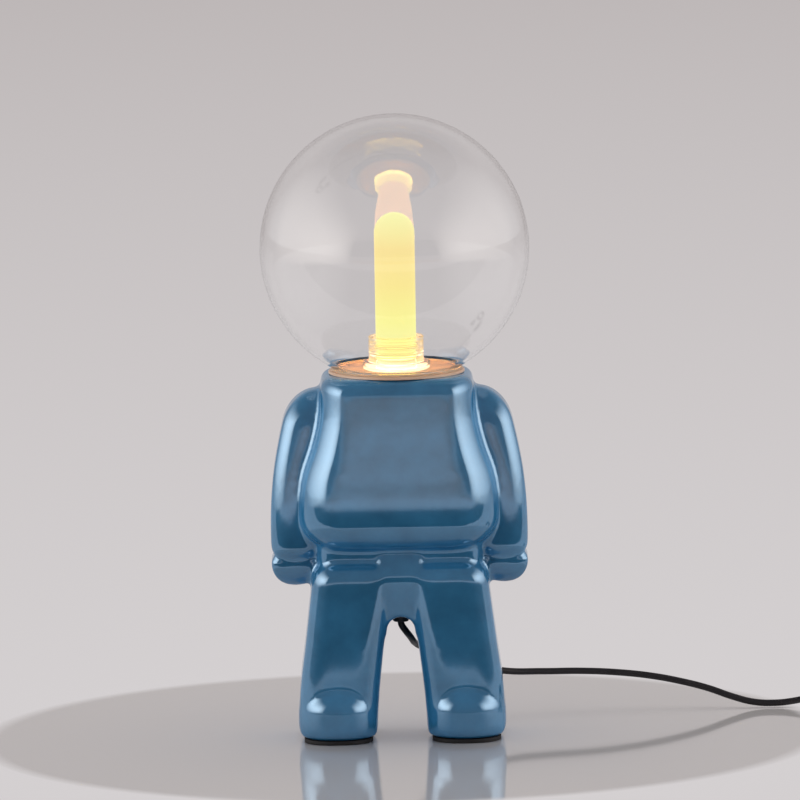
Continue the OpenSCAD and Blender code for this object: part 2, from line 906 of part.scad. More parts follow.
module cord_lead() {
    color("black")
        sweep(smooth(lead_points, 3), flat_side, cord_r, cord_sides);
}

module cord_coil() {
    echo(coil_least_gap = least_gap(coil_loops, loop_rings / 2, cord_d));
    color("black")
        sweep(coil_points, flat_side, cord_r, coil_sides);
}

module cord_tail() {
    color("black")
        sweep(smooth(tail_points, 3), flat_side, cord_r, cord_sides);
}

module coil_tie() {
    in_w = coil_out_r - coil_in_r + cord_d + 2 * tie_gap;
    in_h = coil_pitch + cord_d + 2 * tie_gap;
    corner = 2;
    mid_x = coil_x + (coil_out_r + coil_in_r) / 2;
    color("gray")
        translate([mid_x, coil_y + tie_w / 2, tie_t + in_h / 2])
            rotate([90, 0, 0])
                linear_extrude(tie_w)
                    difference() {
                        rounded(in_w + 2 * tie_t, in_h + 2 * tie_t, corner + tie_t);
                        rounded(in_w, in_h, corner);
                    }
}

// Places of the two screws that hold the switch together
module at_switch_screws() {
    inset = switch_wall + screw_head_r;
    for (side = [-1, 1])
        translate([side * (switch_l / 2 - inset - cord_d), side * (switch_w / 2 - inset), 0])
            children();
}

module at_switch() {
    translate([switch_x, switch_y, 0])
        children();
}

// One half of the switch case, open at the parting level
module switch_shell() {
    difference() {
        linear_extrude(split_z)
            rounded(switch_l, switch_w, switch_corner);
        translate([0, 0, switch_wall])
            linear_extrude(split_z)
                rounded(
                    switch_l - 2 * switch_wall,
                    switch_w - 2 * switch_wall,
                    switch_corner - switch_wall
                );
        translate([-switch_l / 2 - eps, 0, split_z])
            rotate([0, 90, 0])
                cylinder(r = cord_hole_r, h = switch_l + 2 * eps);
    }
}

module switch_base() {
    post_h_to_pin = pin_z + pin_d - switch_wall;
    post_l = 2 * pin_d;
    post_y = rocker_w / 2 + rocker_gap;
    color("black")
        at_switch()
            difference() {
                union() {
                    switch_shell();
                    for (side = [0, 1])
                        mirror([0, side, 0])
                            translate([-post_l / 2, post_y, switch_wall - eps])
                                cube([post_l, post_t, post_h_to_pin]);
                    at_switch_screws()
                        cylinder(r = boss_r, h = split_z);
                }
                translate([0, switch_w / 2, pin_z])
                    rotate([90, 0, 0])
                        cylinder(d = pin_d + 2 * pin_gap, h = switch_w);
                at_switch_screws() {
                    translate([0, 0, -eps])
                        cylinder(r = screw_head_r + screw_gap, h = screw_head_h + screw_gap + eps);
                    cylinder(r = screw_r + screw_gap, h = split_z + eps);
                }
            }
}

module switch_cover() {
    window_l = 2 * (norm([rocker_l / 2, rocker_rise]) + rocker_gap);
    window_w = rocker_w + 2 * rocker_gap;
    color("black")
        at_switch()
            difference() {
                union() {
                    translate([0, 0, switch_h])
                        mirror([0, 0, 1])
                            switch_shell();
                    at_switch_screws()
                        translate([0, 0, split_z])
                            cylinder(r = boss_r, h = split_z - switch_wall + eps);
                }
                translate([-window_l / 2, -window_w / 2, split_z])
                    cube([window_l, window_w, switch_h]);
                at_switch_screws()
                    translate([0, 0, split_z - eps])
                        cylinder(r = screw_r + screw_gap, h = split_z - switch_wall);
            }
}

// The rocker, pressed down on the lit side
module switch_rocker() {
    lift = rocker_l / 2 * tan(rocker_tilt);
    half = rocker_l / 2;
    color("dimgray")
        at_switch()
            translate([0, 0, pin_z])
                rotate([0, rocker_tilt, 0])
                    rotate([90, 0, 0])
                        translate([0, 0, -rocker_w / 2])
                            linear_extrude(rocker_w)
                                difference() {
                                    polygon([
                                        [-half, 0], [-rocker_drop, -rocker_drop], [rocker_drop, -rocker_drop],
                                        [half, 0], [half, rocker_rise + lift], [0, rocker_rise],
                                        [-half, rocker_rise + lift]
                                    ]);
                                    circle(d = pin_d + 2 * pin_gap);
                                }
}

module rocker_pin() {
    pin_l = rocker_w + 2 * rocker_gap + 2 * post_t;
    color("silver")
        at_switch()
            translate([0, pin_l / 2, pin_z])
                rotate([90, 0, 0])
                    cylinder(d = pin_d, h = pin_l);
}

module switch_contacts() {
    contact_l = rocker_l / 4;
    contact_w = rocker_w / 2;
    contact_h = 3;
    color("goldenrod")
        at_switch()
            for (side = [0, 1])
                mirror([side, 0, 0])
                    translate([rocker_l / 4, -contact_w / 2, switch_wall]) {
                        cube([contact_l, contact_w, contact_t]);
                        cube([contact_t, contact_w, contact_h]);
                    }
}

module switch_screws() {
    color("silver")
        at_switch()
            at_switch_screws() {
                cylinder(r = screw_head_r, h = screw_head_h);
                cylinder(r = screw_r, h = switch_h - 2 * switch_wall - 1);
            }
}

// Places of the two plug pins, each along the way out of the plug's face
module at_prongs() {
    for (side = [-1, 1])
        translate([plug_face_x, tail_y + side * prong_pitch / 2, plug_z])
            rotate([0, -90, 0])
                children();
}

module plug_body() {
    color("black")
        difference() {
            union() {
                translate([plug_face_x, tail_y, 0])
                    linear_extrude(plug_t)
                        polygon([
                            [0, -plug_w / 2], [plug_l / 2, -plug_w / 2], [plug_l, -plug_tail_w / 2],
                            [plug_l, plug_tail_w / 2], [plug_l / 2, plug_w / 2], [0, plug_w / 2]
                        ]);
                translate([plug_back_x, tail_y, plug_z])
                    rotate([0, 90, 0])
                        cylinder(d1 = relief_d, d2 = cord_d + 2, h = relief_l);
            }
            at_prongs()
                translate([0, 0, -prong_in])
                    cylinder(d = prong_d + 2 * prong_gap, h = prong_in + eps);
        }
}

module plug_pins() {
    tip = prong_d / 4;
    color("silver")
        at_prongs()
            translate([0, 0, -prong_in]) {
                cylinder(d = prong_d, h = prong_in + prong_l - tip);
                translate([0, 0, prong_in + prong_l - tip])
                    cylinder(d1 = prong_d, d2 = prong_d / 2, h = tip);
            }
}

ceramic_body();
foot_pad(-1);  // foot_pad_left
foot_pad(1);  // foot_pad_right
neck_plate();
globe_gasket();
glass_globe();
tube_holder();
diffuser_tube();
heat_sink();
led_board();
led_chips();
threaded_tube();
bridge_bar();
driver_bracket();
lock_nut();
driver_case();
driver_cover();
driver_board();
driver_parts();
driver_screws();
led_wires();
inner_cord();
cord_gland();
gland_nut();
cord_run();
switch_base();
switch_cover();
switch_rocker();
rocker_pin();
switch_contacts();
switch_screws();
cord_lead();
cord_coil();
coil_tie();
cord_tail();
plug_body();
plug_pins();
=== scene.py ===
"""Astronaut table lamp: a glazed figure with a clear globe, a lit tube and a mains lead.

Metres, +Z up; the camera looks along +Y. Sizes of the lamp are in millimetres, as in the part's source.
Every piece sits at the origin, with its place in its mesh.
"""
import json
import math

import bpy
import numpy as np
from mathutils import Matrix, Vector

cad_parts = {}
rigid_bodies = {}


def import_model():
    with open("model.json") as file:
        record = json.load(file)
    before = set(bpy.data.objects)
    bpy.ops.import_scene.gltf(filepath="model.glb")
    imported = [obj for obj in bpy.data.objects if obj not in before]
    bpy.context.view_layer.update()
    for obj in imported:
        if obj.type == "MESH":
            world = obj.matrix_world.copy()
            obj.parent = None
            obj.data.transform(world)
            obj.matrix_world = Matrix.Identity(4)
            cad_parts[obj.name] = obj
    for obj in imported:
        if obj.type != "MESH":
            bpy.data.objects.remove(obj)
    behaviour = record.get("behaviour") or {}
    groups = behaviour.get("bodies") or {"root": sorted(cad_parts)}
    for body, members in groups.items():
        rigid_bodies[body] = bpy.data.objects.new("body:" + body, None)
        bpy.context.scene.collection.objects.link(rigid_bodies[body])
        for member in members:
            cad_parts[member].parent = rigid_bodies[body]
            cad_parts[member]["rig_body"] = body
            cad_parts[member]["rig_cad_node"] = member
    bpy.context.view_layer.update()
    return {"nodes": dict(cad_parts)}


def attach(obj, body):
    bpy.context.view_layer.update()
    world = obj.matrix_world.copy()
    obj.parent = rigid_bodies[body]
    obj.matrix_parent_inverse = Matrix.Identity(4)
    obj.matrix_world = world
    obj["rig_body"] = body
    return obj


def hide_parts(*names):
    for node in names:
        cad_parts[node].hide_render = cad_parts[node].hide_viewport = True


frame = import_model()
scene = bpy.context.scene
scene.view_settings.view_transform = "Standard"

MM = 0.001

# Sizes that several pieces and finishes share, in millimetres
CORD_R = 2.5  # the lead
GLAND_Z = 86  # where it leaves the figure
FOOT_X, FOOT_Y = 47.5, -5  # middle of a sole
NECK_Z, PLATE_Z, GLASS_Z = 273, 275, 276.5  # tops of the neck, of its plate and of the globe's ring
STEM_R = 5.05  # hole for the threaded tube
TUBE_R, TUBE_Z, DOME_Z = 15, 285, 377  # light tube: radius, foot and the middle of its dome
THREAD_Z = (288, 291, 294, 297)  # rings of its thread


# Camera: far off with a long lens, a little above the table, rolled as the photograph is
IMAGE_WIDTH = 800  # pixels
PIXEL = 0.7416 * MM  # what a pixel of the photograph spans at the lamp
ELEVATION = math.radians(7.5)
ROLL = math.radians(-1.0)
DISTANCE = 10.0
AIM = Vector((2.2 * MM, 0, 251.7 * MM))

lens = bpy.data.cameras.new("camera")
lens.sensor_width = 36
lens.lens = lens.sensor_width * DISTANCE / (IMAGE_WIDTH * PIXEL)
lens.clip_end = 60
camera = bpy.data.objects.new("camera", lens)
scene.collection.objects.link(camera)
camera.matrix_world = (
    Matrix.Translation(AIM)
    @ Matrix.Rotation(math.pi / 2 - ELEVATION, 4, "X")
    @ Matrix.Rotation(ROLL, 4, "Z")
    @ Matrix.Translation((0, 0, DISTANCE))
)
scene.camera = camera


# Tools of the bench
WELD = 1e-6  # points closer than this become one, in metres
LAYER, LEAST_LAYER = 3, 1  # heights of a slab's middle layers, in millimetres
ROUND_STEP = 10  # turn between the layers of a rounding, in degrees
CORNER_STEPS = 8  # faces of a slab's round corner
FLAT_UNDER, SHARP_OVER = 1, 35  # turns at an edge of a moulded piece, in degrees


def begin(name, shape="plane", **size):
    """Start a piece from a primitive, alone in the selection and open for editing."""
    bpy.ops.object.select_all(action="DESELECT")
    getattr(bpy.ops.mesh, f"primitive_{shape}_add")(**size)
    piece = bpy.context.object
    piece.name = piece.data.name = name
    bpy.ops.object.mode_set(mode="EDIT")
    return piece


def close(piece, smooth_under=40):
    """Close the mesh, turn its faces outwards, put its place in its mesh and shade it."""
    bpy.ops.mesh.select_all(action="SELECT")
    bpy.ops.mesh.remove_doubles(threshold=WELD)
    bpy.ops.mesh.normals_make_consistent(inside=False)
    bpy.ops.object.mode_set(mode="OBJECT")
    bpy.ops.object.transform_apply(location=True, rotation=True, scale=True)
    bpy.ops.object.shade_smooth_by_angle(angle=math.radians(smooth_under))
    return piece


def turned(name, profile, steps=96):
    """Spin a profile of (radius, height) points round the lamp's axis."""
    piece = begin(name, size=MM)
    bpy.ops.mesh.merge(type="CENTER")
    r, z = profile[0]
    bpy.ops.transform.translate(value=(r * MM, 0, z * MM))
    for next_r, next_z in profile[1:]:
        step = ((next_r - r) * MM, 0, (next_z - z) * MM)
        bpy.ops.mesh.extrude_vertices_move(TRANSFORM_OT_translate={"value": step})
        r, z = next_r, next_z
    bpy.ops.mesh.select_all(action="SELECT")
    bpy.ops.mesh.spin(steps=steps, angle=math.tau, center=(0, 0, 0), axis=(0, 0, 1))
    return close(piece)


def arc(x, z, r, start, end, steps):
    """Points of a round in a profile, from one angle to another in degrees."""
    turns = [math.radians(start + (end - start) * i / steps) for i in range(steps + 1)]
    return [(x + r * math.cos(a), z + r * math.sin(a)) for a in turns]


def flat_ring(inner, outer, low, high, under, over):
    """Profile of a flat ring whose outer edge is eased, by one size under and another over."""
    return [
        (inner, low), (outer - under, low), (outer, low + under),
        (outer, high - over), (outer - over, high), (inner, high), (inner, low),
    ]


def sections(keys, foot, head):
    """Sections on a smooth curve through a few key ones, rounded at the foot and the head.

    A section is (height, x, half width, half depth); a rounding is its (inset, height).
    """
    keys = np.array(keys, dtype=float)
    heights, sizes = keys[:, 0], keys[:, 1:]
    slopes = np.gradient(sizes, heights, axis=0)
    low, high = heights[0], heights[-1]
    round_off = 1 - np.cos(np.radians(np.arange(0, 91, ROUND_STEP)))
    middle = np.arange(low + foot[1] + LAYER, high - head[1] - LEAST_LAYER, LAYER)
    levels = [*(low + foot[1] * round_off), *middle, *(high - head[1] * round_off[::-1])]
    hair = 1e-9  # keeps what the root below is taken of from falling under zero
    for z in levels:
        i = min(max(int(np.searchsorted(heights, z)) - 1, 0), len(heights) - 2)
        rise = heights[i + 1] - heights[i]
        t = (z - heights[i]) / rise
        x, w, d = (
            (2 * t ** 3 - 3 * t ** 2 + 1) * sizes[i] + (3 * t ** 2 - 2 * t ** 3) * sizes[i + 1]
            + rise * ((t ** 3 - 2 * t ** 2 + t) * slopes[i] + (t ** 3 - t ** 2) * slopes[i + 1])
        )
        inset = sum(
            depth * (1 - math.sqrt(1 - max(0, 1 - (from_end + hair) / tall) ** 2))
            for from_end, (depth, tall) in ((z - low, foot), (high - z, head))
        )
        yield z, x, w - inset, d - inset


def stacked(name, keys, corner, foot, head, side=1, y=0):
    """Extrude a rounded slab bottom up through the sections of its keys; the corner is at its widest."""
    levels = [(z, side * x, w, d) for z, x, w, d in sections(keys, foot, head)]
    widest = max(w for _, _, w, _ in levels)
    z, x, w, d = levels[0]
    piece = begin(name, size=2)
    bpy.ops.transform.resize(value=(w * MM, d * MM, 1), center_override=(0, 0, 0))
    bpy.ops.transform.translate(value=(x * MM, y * MM, z * MM))
    bpy.ops.mesh.bevel(offset=corner * w / widest * MM, segments=CORNER_STEPS, affect="VERTICES")
    for next_z, next_x, next_w, next_d in levels[1:]:
        step = ((next_x - x) * MM, 0, (next_z - z) * MM)
        bpy.ops.mesh.extrude_region_move(TRANSFORM_OT_translate={"value": step})
        bpy.ops.transform.resize(
            value=(next_w / w, next_d / d, 1),
            center_override=(next_x * MM, y * MM, next_z * MM),
        )
        z, x, w, d = next_z, next_x, next_w, next_d
    return close(piece)


def apply(piece, kind, **settings):
    """Add a modifier with its settings and apply it."""
    bpy.ops.object.select_all(action="DESELECT")
    bpy.context.view_layer.objects.active = piece
    piece.select_set(True)
    bpy.ops.object.modifier_add(type=kind)
    modifier = piece.modifiers[-1]
    for key, value in settings.items():
        setattr(modifier, key, value)
    bpy.ops.object.modifier_apply(modifier=modifier.name)


def eased(solid, edge, smooth_under=30):
    """A copy of a moulded CAD node with its sharp edges eased by a size in millimetres."""
    bpy.ops.object.select_all(action="DESELECT")
    piece = frame["nodes"][solid].copy()
    piece.data = piece.data.copy()
    piece.name = piece.data.name = solid + ".eased"
    piece.parent = None
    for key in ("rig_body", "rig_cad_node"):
        del piece[key]
    scene.collection.objects.link(piece)
    piece.select_set(True)
    bpy.context.view_layer.objects.active = piece
    bpy.ops.object.mode_set(mode="EDIT")
    bpy.ops.mesh.select_all(action="SELECT")
    bpy.ops.mesh.remove_doubles(threshold=WELD)
    bpy.ops.mesh.dissolve_limited(angle_limit=math.radians(FLAT_UNDER))
    bpy.ops.object.mode_set(mode="OBJECT")
    apply(piece, "BEVEL", width=edge * MM, segments=3, limit_method="ANGLE",
          angle_limit=math.radians(SHARP_OVER), use_clamp_overlap=True)
    bpy.ops.object.shade_smooth_by_angle(angle=math.radians(smooth_under))
    return piece


def place(piece, body, finish, slot, *nodes):
    """Give a piece its finish and the body that it moves with, and hide the CAD nodes that it stands for.
    """
    piece.data.materials.clear()
    piece.data.materials.append(finish)
    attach(piece, body)
    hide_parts(*nodes)
    return piece


# Finishes
NOISE_LOW, NOISE_HIGH = 0.32, 0.68  # where most of a noise's values lie
UNEVEN = 0.05  # how far a finish's roughness wanders to either side
FAR_OFF = 0.06  # a mirror ray longer than this, in metres, is taken to come from the globe


def linear(code):
    """An sRGB hex colour as linear RGBA."""
    parts = [int(code[i:i + 2], 16) / 255 for i in (1, 3, 5)]
    return [c / 12.92 if c <= 0.04045 else ((c + 0.055) / 1.055) ** 2.4 for c in parts] + [1.0]


def node(tree, kind, settings=None, **inputs):
    """Add a shader node; an input's name has _ for a space, and its value may be another node's output."""
    made = tree.nodes.new("ShaderNode" + kind)
    for key, value in (settings or {}).items():
        setattr(made, key, value)
    for key, value in inputs.items():
        name = key.replace("_", " ")
        socket = made.inputs[int(key[1:])] if key[1:].isdigit() else made.inputs[name]
        if isinstance(value, bpy.types.NodeSocket):
            tree.links.new(value, socket)
        else:
            socket.default_value = value
    return made


def finish_named(name, **values):
    """A new material, its node tree and its Principled shader with plain values set."""
    made = bpy.data.materials.new(name)
    made.use_nodes = True
    tree = made.node_tree
    shader = tree.nodes["Principled BSDF"]
    for key, value in values.items():
        shader.inputs[key.replace("_", " ")].default_value = value
    return made, tree, shader


def shades(tree, value, low, high, *codes):
    """Hex colours in even steps from one value to another, or each with its own place, as (place, code)."""
    share = node(tree, "MapRange", Value=value, From_Min=low, From_Max=high).outputs["Result"]
    made = node(tree, "ValToRGB", Fac=share)
    stops = [c if isinstance(c, tuple) else (i / (len(codes) - 1), c) for i, c in enumerate(codes)]
    for _ in stops[2:]:
        made.color_ramp.elements.new(0.5)
    for stop, (place_at, code) in zip(made.color_ramp.elements, stops):
        stop.position = place_at
        stop.color = linear(code)
    return made.outputs["Color"]


def mottled(tree, low, high, size_mm):
    """Colour that drifts between two hex colours in patches of a real size, with its pattern and place."""
    place_on = node(tree, "TexCoord").outputs["Object"]
    scale = 1 / (size_mm * MM)
    patches = node(tree, "TexNoise", Vector=place_on, Scale=scale, Detail=4.0, Roughness=0.55)
    pattern = patches.outputs["Fac"]
    return shades(tree, pattern, NOISE_LOW, NOISE_HIGH, low, high), pattern, place_on


def textured(tree, shader, place_on, size_mm, height_mm):
    """A fine bump of a real grain size and height."""
    grain = node(tree, "TexNoise", Vector=place_on, Scale=1 / (size_mm * MM), Detail=2.0)
    bump = node(tree, "Bump", Strength=1.0, Distance=height_mm * MM, Height=grain.outputs["Fac"])
    tree.links.new(bump.outputs["Normal"], shader.inputs["Normal"])


def plain_finish(name, low, high, drift, grain, rough, **values):
    """A moulded, cast or pressed finish: faint colour drift, a fine grain and uneven gloss.

    The drift is the size of its patches and the grain is its (size, height), in millimetres.
    """
    made, tree, shader = finish_named(name, **values)
    colour, patches, place_on = mottled(tree, low, high, drift)
    tree.links.new(colour, shader.inputs["Base Color"])
    textured(tree, shader, place_on, *grain)
    gloss = node(tree, "MapRange", Value=patches, To_Min=rough - UNEVEN, To_Max=rough + UNEVEN)
    tree.links.new(gloss.outputs["Result"], shader.inputs["Roughness"])
    return made


def lustre_glaze():
    # Lustre glaze on slip-cast stoneware: deep teal blue under a thin metallic film that mirrors the room
    # strongly, tinted blue, with slow drifts of tone and a faint orange peel that makes reflections waver.
    made, tree, shader = finish_named(
        "lustre_glaze", Roughness=0.09, IOR=3.0, Specular_Tint=linear("#c2e3ff")
    )
    colour, _, place_on = mottled(tree, "#2a6e9a", "#3682b4", size_mm=26)
    tree.links.new(colour, shader.inputs["Base Color"])
    textured(tree, shader, place_on, size_mm=7, height_mm=0.02)
    return made


def blown_glass():
    # Clear blown glass: no colour, sharp reflections, a slow ripple in the wall.
    made, tree, shader = finish_named(
        "blown_glass", Base_Color=linear("#ffffff"), Roughness=0.0, IOR=1.5, Transmission_Weight=1.0
    )
    place_on = node(tree, "TexCoord").outputs["Object"]
    textured(tree, shader, place_on, size_mm=90, height_mm=0.02)
    return made


def out_from_axis(tree):
    """How far a point is from the lamp's axis, in metres."""
    place_on = node(tree, "TexCoord").outputs["Object"]
    flat = node(tree, "VectorMath", {"operation": "MULTIPLY"}, _0=place_on, _1=(1, 1, 0))
    return node(tree, "VectorMath", {"operation": "LENGTH"}, _0=flat.outputs["Vector"]).outputs["Value"]


def far_mirror(tree):
    """One for a ray that comes from a mirror some way off, such as the globe's wall."""
    path = node(tree, "LightPath")
    mirror = path.outputs["Is Reflection Ray"]
    off = node(tree, "Math", {"operation": "GREATER_THAN"}, _0=path.outputs["Ray Length"], _1=FAR_OFF)
    return node(tree, "Math", {"operation": "MULTIPLY"}, _0=mirror, _1=off.outputs[0]).outputs[0]


def lit_acrylic():
    # Frosted acrylic lit from its foot: an even warm glow, a little deeper halfway up. The thread inside
    # the holder glows half as much. Mirror images see the true glow, far brighter than a picture can show.
    made, tree, shader = finish_named(
        "frosted_acrylic", Base_Color=linear("#2b2412"), Roughness=0.5, Specular_IOR_Level=0.2
    )
    place_on = node(tree, "TexCoord").outputs["Object"]
    height = node(tree, "SeparateXYZ", Vector=place_on).outputs["Z"]
    glow = shades(
        tree, height, TUBE_Z * MM, (DOME_Z + TUBE_R) * MM,
        "#fffdb0", "#fefa99", "#feec94", "#fee79b", "#fefdb5",
    )
    mirrored = far_mirror(tree)
    colour = node(tree, "Mix", {"data_type": "RGBA"}, Factor=mirrored, _6=glow, _7=linear("#ffbc7c"))
    power = node(tree, "MapRange", Value=mirrored, To_Min=1.0, To_Max=9.0).outputs["Result"]
    on_thread = node(
        tree, "MapRange", Value=out_from_axis(tree),
        From_Min=(TUBE_R + 0.1) * MM, From_Max=(TUBE_R + 0.8) * MM, To_Min=1.0, To_Max=0.5,
    ).outputs["Result"]
    power = node(tree, "Math", {"operation": "MULTIPLY"}, _0=power, _1=on_thread)
    tree.links.new(colour.outputs[2], shader.inputs["Emission Color"])
    tree.links.new(power.outputs[0], shader.inputs["Emission Strength"])
    return made


def clear_acrylic():
    # Moulded clear acrylic with a painted glow: emission paints the lamp's light up the collar's wall,
    # white-hot at
    #     # its foot, and the flange round it stays clear. Mirror images see a far brighter painted glow, a
    #     painted reflection.
    made, tree, shader = finish_named(
        "clear_acrylic", Base_Color=linear("#fffbe6"), Roughness=0.02, IOR=1.49, Transmission_Weight=1.0
    )
    foot_z, collar_z = 278 * MM, 284 * MM
    collar_r, flange_r = 17.5 * MM, 19.5 * MM
    place_on = node(tree, "TexCoord").outputs["Object"]
    height = node(tree, "SeparateXYZ", Vector=place_on).outputs["Z"]
    above = node(tree, "MapRange", Value=height, From_Min=foot_z, From_Max=collar_z).outputs["Result"]
    inside = node(
        tree, "MapRange", Value=out_from_axis(tree),
        From_Min=collar_r, From_Max=flange_r, To_Min=1.0, To_Max=0.05,
    ).outputs["Result"]
    direct = node(tree, "MapRange", Value=above, To_Min=1.1, To_Max=0.25).outputs["Result"]
    direct = node(tree, "Math", {"operation": "MULTIPLY"}, _0=direct, _1=inside).outputs[0]
    in_mirror = node(tree, "MapRange", Value=above, To_Min=80.0, To_Max=10.0).outputs["Result"]
    mirrored = far_mirror(tree)
    power = node(tree, "Mix", Factor=mirrored, A=direct, B=in_mirror)
    painted_glow_colour = shades(tree, above, 0, 1, "#fffbe0", "#ffc860")
    colour = node(tree, "Mix", {"data_type": "RGBA"}, Factor=mirrored, _6=painted_glow_colour, _7=linear("#ffda61"))
    tree.links.new(colour.outputs[2], shader.inputs["Emission Color"])
    tree.links.new(power.outputs[0], shader.inputs["Emission Strength"])
    return made


GLAZE = lustre_glaze()
GLASS = blown_glass()
GLOW = lit_acrylic()
CLEAR_PAINTED_GLOW = clear_acrylic()
# Spun aluminium plate, satin, with a soft broad shine; its warm peach colour is painted glow of the tube's
# light, beside the real tube_glow lamp.
PLATE_PAINTED_GLOW = plain_finish(
    "aluminium_painted_warm_glow", "#e8c4aa", "#f1d0b8", drift=30, grain=(0.6, 0.01), rough=0.42, Metallic=0.2
)
# Translucent silicone ring: milky, it takes up some of the light round it, and its warm tone is painted
# glow of the lamp's light.
SILICONE_PAINTED_GLOW = plain_finish(
    "silicone", "#ead2b8", "#f2dcc4", drift=8, grain=(0.8, 0.01), rough=0.4,
    Transmission_Weight=0.35, IOR=1.41,
)
# Moulded rubber foot pads: near black, dull, faintly grainy.
RUBBER = plain_finish("pad_rubber", "#0b090c", "#151217", drift=6, grain=(0.5, 0.03), rough=0.7)
# Moulded black ABS: a satin skin with a fine spark-eroded grain.
ABS = plain_finish("black_abs", "#111013", "#1b191d", drift=10, grain=(0.4, 0.02), rough=0.42)
# Extruded PVC sheath: soft black with a low shine.
PVC = plain_finish("cord_pvc", "#171418", "#221d21", drift=12, grain=(0.7, 0.02), rough=0.45)
# Nylon tie: dark grey, slightly waxy.
NYLON = plain_finish("tie_nylon", "#3a3a3c", "#48484a", drift=5, grain=(0.4, 0.01), rough=0.5)
# Nickel-plated pins: bright, with a faint fine grain.
NICKEL = plain_finish(
    "nickel_plate", "#b9b4aa", "#cfcbc2", drift=4, grain=(0.2, 0.004), rough=0.22, Metallic=1.0
)
# Zinc-plated steel: pale, with a cloudy shine.
ZINC = plain_finish(
    "zinc_steel", "#9a9fa6", "#b8bcc2", drift=5, grain=(0.5, 0.006), rough=0.35, Metallic=1.0
)
# Turned brass: yellow and bright.
BRASS = plain_finish("brass", "#b08a45", "#c9a45c", drift=5, grain=(0.4, 0.006), rough=0.3, Metallic=1.0)
# White moulded polycarbonate: clean, with a satin skin.
WHITE = plain_finish("white_polycarbonate", "#dddcd8", "#e8e7e3", drift=12, grain=(0.4, 0.02), rough=0.45)
# Green glass-epoxy board: glossy solder resist.
BOARD = plain_finish("glass_epoxy", "#1f5a34", "#2a6b40", drift=6, grain=(0.5, 0.01), rough=0.3)
# Black epoxy of the board's parts: dull and even.
EPOXY = plain_finish("part_epoxy", "#222226", "#303034", drift=5, grain=(0.3, 0.01), rough=0.5)
# Red silicone insulation of the thin wires: a soft, even skin.
WIRE = plain_finish("wire_silicone", "#8e1f1c", "#a52a25", drift=6, grain=(0.4, 0.01), rough=0.5)
# Yellow phosphor of the light chips, lit.
CHIPS = plain_finish(
    "led_phosphor", "#f4d35e", "#f7dc74", drift=2, grain=(0.2, 0.005), rough=0.5,
    Emission_Color=linear("#ffe9a0"), Emission_Strength=4.0,
)


# Mains lead: the route of the source, point by point
SWITCH_Y, SWITCH_Z, PLUG_Z = 104, 9, 7
COIL_Z, TURNS, INNER, PITCH, RINGS = 3.5, 6.5, 20.5, 5.6, 24
COIL_X, COIL_Y = 430, SWITCH_Y - INNER - PITCH * TURNS / 2
TAIL_Y = COIL_Y - INNER - PITCH * TURNS / 2
UPPER_Z = COIL_Z + PITCH
RUN = [
    (0, 0, GLAND_Z), (0.2, 0.1, 84.2), (1, 0.6, 82.2), (2.6, 2.2, 79.6), (4.4, 5.4, 76.6), (6.6, 12, 72.8),
    (8.2, 20, 69.2), (9.3, 29, 66.2), (10.4, 37, 64), (13, 45, 61), (19, 54, 57), (32, 67.5, 50),
    (52, 79, 41), (77, 88, 34), (105, 95, 32), (135, 100, 31), (162, 103, 29), (188, 105, 25.5),
    (210, 105, 21), (230, 105, 15.5), (248, 104, 9), (264, 104, 4.6), (280, 104, 3.6), (295, 104, 5),
    (306, 104, 7.2), (315, SWITCH_Y, SWITCH_Z), (322, SWITCH_Y, SWITCH_Z), (331, SWITCH_Y, SWITCH_Z),
]
LEAD = [
    (377, SWITCH_Y, SWITCH_Z), (386, SWITCH_Y, SWITCH_Z), (391, SWITCH_Y, SWITCH_Z),
    (403.5, SWITCH_Y, 6.25), (417, SWITCH_Y, COIL_Z), (421, SWITCH_Y, COIL_Z), (425, SWITCH_Y, COIL_Z),
]
TAIL = [
    (425, TAIL_Y, UPPER_Z), (423, TAIL_Y, UPPER_Z), (421, TAIL_Y, UPPER_Z),
    (408, TAIL_Y, PLUG_Z), (406, TAIL_Y, PLUG_Z), (404, TAIL_Y, PLUG_Z),
]


def coil():
    """A flat coil that winds inwards, climbs by one cord at its middle and winds outwards on top."""
    for i in range(int(TURNS * RINGS) + 1):
        from_middle = i / RINGS - TURNS / 2
        radius = INNER + PITCH * abs(from_middle)
        climb = min(max(2 * from_middle + 0.5, 0), 1)
        angle = math.radians(90 - 360 * i / RINGS)
        across, along = radius * math.cos(angle), radius * math.sin(angle)
        yield COIL_X + across, COIL_Y + along, COIL_Z + PITCH * climb


def cord(name, points):
    """A round cord along a smooth curve through its points."""
    line = bpy.data.curves.new(name, "CURVE")
    line.dimensions = "3D"
    line.bevel_depth = CORD_R * MM
    line.bevel_resolution = 5
    line.resolution_u = 8
    line.use_fill_caps = True
    spline = line.splines.new("BEZIER")
    spline.bezier_points.add(len(points) - 1)
    for knot, point in zip(spline.bezier_points, points):
        knot.co = [c * MM for c in point]
        knot.handle_left_type = knot.handle_right_type = "AUTO"
    piece = bpy.data.objects.new(name, line)
    scene.collection.objects.link(piece)
    return piece


lamp_lead = place(cord("lamp_lead", RUN), "lamp", PVC, "cord_pvc", "cord_run")
plug_lead = place(
    cord("plug_lead", [*LEAD, *coil(), *TAIL]), "lamp", PVC, "cord_pvc",
    "cord_lead", "cord_coil", "cord_tail",
)


# Moulded pieces on the lead
switch = [
    place(eased("switch_base", edge=0.6), "lamp", ABS, "switch_plastic", "switch_base"),
    place(eased("switch_cover", edge=0.8), "lamp", ABS, "switch_plastic", "switch_cover"),
    place(eased("switch_rocker", edge=0.4), "rocker", ABS, "switch_plastic", "switch_rocker"),
]
plug = [
    place(eased("plug_body", edge=1.2), "lamp", ABS, "cord_pvc", "plug_body"),
    place(eased("plug_pins", edge=0.5), "lamp", NICKEL, "nickel_pins", "plug_pins"),
]
tie = place(eased("coil_tie", edge=0.2), "lamp", NYLON, "tie_plastic", "coil_tie")


# The figure: stacked blocks, fused and smoothed as slip fills a mould

